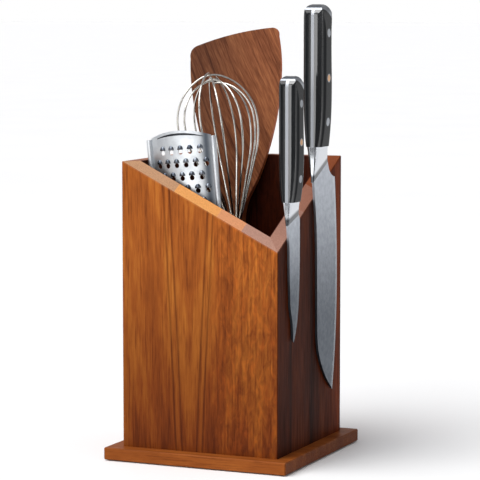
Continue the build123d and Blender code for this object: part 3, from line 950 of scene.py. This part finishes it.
@dataclass
class Studio:
    """White floor, soft lights and the camera."""

    look_at: Vector = field(default_factory=lambda: Vector((2.67, 8.32, 193.19)) * MM)
    back: Vector = field(default_factory=lambda: Vector((0.40201, -0.90985, 0.10277)))
    distance: float = 2050.93 * MM
    lens: float = 169.24
    overhead: float = 0.42
    floor_front: float = -6.0
    floor_fade: float = -0.8
    floor_reach: float = 30.0

    def floor(self) -> None:
        """A wide pale floor."""
        shape = bmesh.new()
        bmesh.ops.create_grid(shape, x_segments=1, y_segments=1, size=self.floor_reach)
        bmesh.ops.translate(shape, vec=(0, self.floor_reach + self.floor_front, 0), verts=shape.verts)
        mesh = bpy.data.meshes.new("floor")
        shape.to_mesh(mesh)
        shape.free()
        g = Graph("pale_floor")
        haze = g.noise(g.place(), 3.0)
        pale = g.mix(haze, (0.86, 0.86, 0.86), (0.9, 0.9, 0.9))
        # the mesh is moved and the object isn't, so y here is the row frame's own y
        near = g.rise(g.parts()[1], 1.8 * self.floor_fade, self.floor_fade)
        g.surface(base_color=g.mix(near, (0.05, 0.05, 0.052), pale), roughness=0.9, specular_ior_level=0.1)
        mesh.materials.append(g.material)
        made = bpy.data.objects.new("floor", mesh)
        bpy.context.scene.collection.objects.link(made)

    def aim(self, made: bpy.types.Object, place: tuple, target: tuple) -> None:
        """Put a lamp in its place and turn it.

        Args:
            made: The lamp's object.
            place: Where it hangs, in metres.
            target: The point it faces.
        """
        made.location = place
        made.rotation_euler = (Vector(target) - Vector(place)).to_track_quat("-Z", "Y").to_euler()
        bpy.context.scene.collection.objects.link(made)

    def strip(self, name: str, place: tuple, size: tuple, power: float) -> None:
        """An upright soft box that gives tall glints on glossy pieces.

        Args:
            name: The lamp's name.
            place: Where it stands, in metres.
            size: Width and height, in metres.
            power: Strength, in watts.
        """
        lamp = bpy.data.lights.new(name, "AREA")
        lamp.shape = "RECTANGLE"
        lamp.size, lamp.size_y = size
        lamp.energy = power
        self.aim(bpy.data.objects.new(name, lamp), place, (0, 0, place[2]))

    def sun(self, name: str, place: tuple, strength: float, softness: float) -> None:
        """A very large, far lamp that lights the whole floor evenly.

        Args:
            name: The lamp's name.
            place: The side it shines from.
            strength: Its strength, in watts to the square metre.
            softness: Its width as seen from the block, in degrees.
        """
        lamp = bpy.data.lights.new(name, "SUN")
        lamp.energy = strength
        lamp.angle = radians(softness)
        self.aim(bpy.data.objects.new(name, lamp), place, (0, 0, 0))

    def sky(self) -> None:
        """Soft surrounding light: white behind the block at the horizon, greyer above, dark in front."""
        world = bpy.data.worlds.new("studio")
        bpy.context.scene.world = world
        world.use_nodes = True
        tree = world.node_tree
        source = tree.nodes.new("ShaderNodeTexCoord")
        split = tree.nodes.new("ShaderNodeSeparateXYZ")
        tree.links.new(source.outputs["Generated"], split.inputs[0])
        shares = []
        horizon = (Axis.Z, 0.07, 0.25, 1.0, 0.0)
        behind = (Axis.Y, -0.2, 0.2, 0.0, 1.0)
        above = (Axis.Z, -0.03, 0.02, 0.0, 1.0)
        for axis, low, high, bottom, top in (horizon, behind, above):
            step = tree.nodes.new("ShaderNodeMapRange")
            step.interpolation_type = "SMOOTHSTEP"
            tree.links.new(split.outputs[axis.value], step.inputs[0])
            for socket, number in zip(step.inputs[1:5], (low, high, bottom, top)):
                socket.default_value = number
            shares.append(step.outputs[0])
        band = tree.nodes.new("ShaderNodeMath")
        band.operation = "MULTIPLY"
        tree.links.new(shares[0], band.inputs[0])
        tree.links.new(shares[1], band.inputs[1])
        low = tree.nodes.new("ShaderNodeMix")
        low.data_type = "RGBA"
        low.inputs[6].default_value = (0.05, 0.05, 0.052, 1.0)
        low.inputs[7].default_value = (self.overhead, self.overhead, self.overhead * 1.03, 1.0)
        tree.links.new(shares[2], low.inputs[0])
        white = tree.nodes.new("ShaderNodeMix")
        white.data_type = "RGBA"
        white.inputs[7].default_value = (1.0, 1.0, 1.0, 1.0)
        tree.links.new(band.outputs[0], white.inputs[0])
        tree.links.new(low.outputs[2], white.inputs[6])
        tree.links.new(white.outputs[2], tree.nodes["Background"].inputs[0])

    def camera(self) -> None:
        """The camera, a little above the block and to its right."""
        lens = bpy.data.cameras.new("camera")
        lens.lens = self.lens
        lens.sensor_width = 36.0
        lens.clip_end = 100.0
        made = bpy.data.objects.new("camera", lens)
        made.location = self.look_at + self.back * self.distance
        made.rotation_euler = (-self.back).to_track_quat("-Z", "Y").to_euler()
        bpy.context.scene.collection.objects.link(made)
        bpy.context.scene.camera = made

    def build(self) -> None:
        """Set up everything round the object."""
        bpy.context.scene.view_settings.view_transform = "Standard"
        self.camera()
        self.floor()
        self.sky()
        self.sun("key", (-0.4, -0.55, 1.05), 2.7, 50.0)
        self.strip("front_strip", (-0.42, -2.37, 0.8), (1.3, 1.7), 16.0)
        self.strip("left_strip", (-1.45, -1.9, 0.8), (0.3, 1.7), 1.5)
        self.strip("right_strip", (2.5, -0.69, 0.8), (0.18, 1.7), 1.8)


def main() -> None:
    """Build the scene, sub-assembly by sub-assembly."""
    Studio().build()
    Block().build()
    grip = BlackGrip("polished_black_scale", crown_at=KNIFE_MIDDLE).build()
    inner = BlackGrip("inner_black_scale", front_shine=0.28, crown_at=KNIFE_MIDDLE).build()
    bright = Metal(
        "polished_cap_steel", tone(146, 150, 156), tone(122, 126, 132), 0.14, 0.22, bump_strength=0.02,
    ).build()
    brass = Metal("rivet_bronze", tone(196, 150, 104), tone(166, 120, 80), 0.15, 0.28).build()
    chef = BladeSteel(
        "chef_blade_steel", spine=0.0, bolster=280 * MM, drop=32 * MM, heel=15.5 * MM, reach=34.6 * MM,
        edge=((0.0, 0.045), (0.0547, 0.0503), (0.088, 0.0562), (0.13, 0.0602), (0.185, 0.0604),
              (0.25, 0.0549), (0.4, 0.05)),
        low=110 * MM, marks=9.3 * MM,
    )
    utility = BladeSteel(
        "utility_blade_steel", spine=-58.5 * MM, bolster=235 * MM, drop=20.5 * MM, heel=12.8 * MM,
        reach=24.5 * MM, edge=((0.0, 0.0), (0.4, 0.0)), low=140 * MM,
    )
    Knife("chef_knife", chef).build(grip, inner, bright, brass)
    Knife("utility_knife", utility).build(grip, inner, bright, brass)
    Whisk().build()
    Turner().build()
    sheet = Metal(
        "grater_bright_steel", tone(222, 226, 229), tone(204, 208, 212), 0.36, 0.46,
        bump_strength=0.04, reflection_band_at=22.4 * MM,
    ).build()
    # painted reflection: the teeth are the sheet's steel, made darker to stand in for the dark surroundings
    # they reflect
    tooth_painted_dark = Metal(
        "grater_tooth_steel_painted_dark", tone(66, 72, 82), tone(132, 138, 147), 0.18, 0.36, (1400.0,) * 3, 0.5,
    ).build()
    # painted shade: the folded lip is the sheet's steel, made dark to stand for the shade behind the slot
    lip = Metal("grater_lip_steel_painted_shade", tone(70, 72, 76), tone(52, 54, 58), 0.3, 0.45).build()
    handle = BlackGrip(
        "grater_grip_black", (0.02, 0.02, 0.022), 0.4, 0.55, 1500.0, 0.15, front_shine=0.5, side_shine=0.3,
    ).build()
    Grater().build(sheet, tooth_painted_dark, lip, handle)


if __name__ == "__main__":
    main()
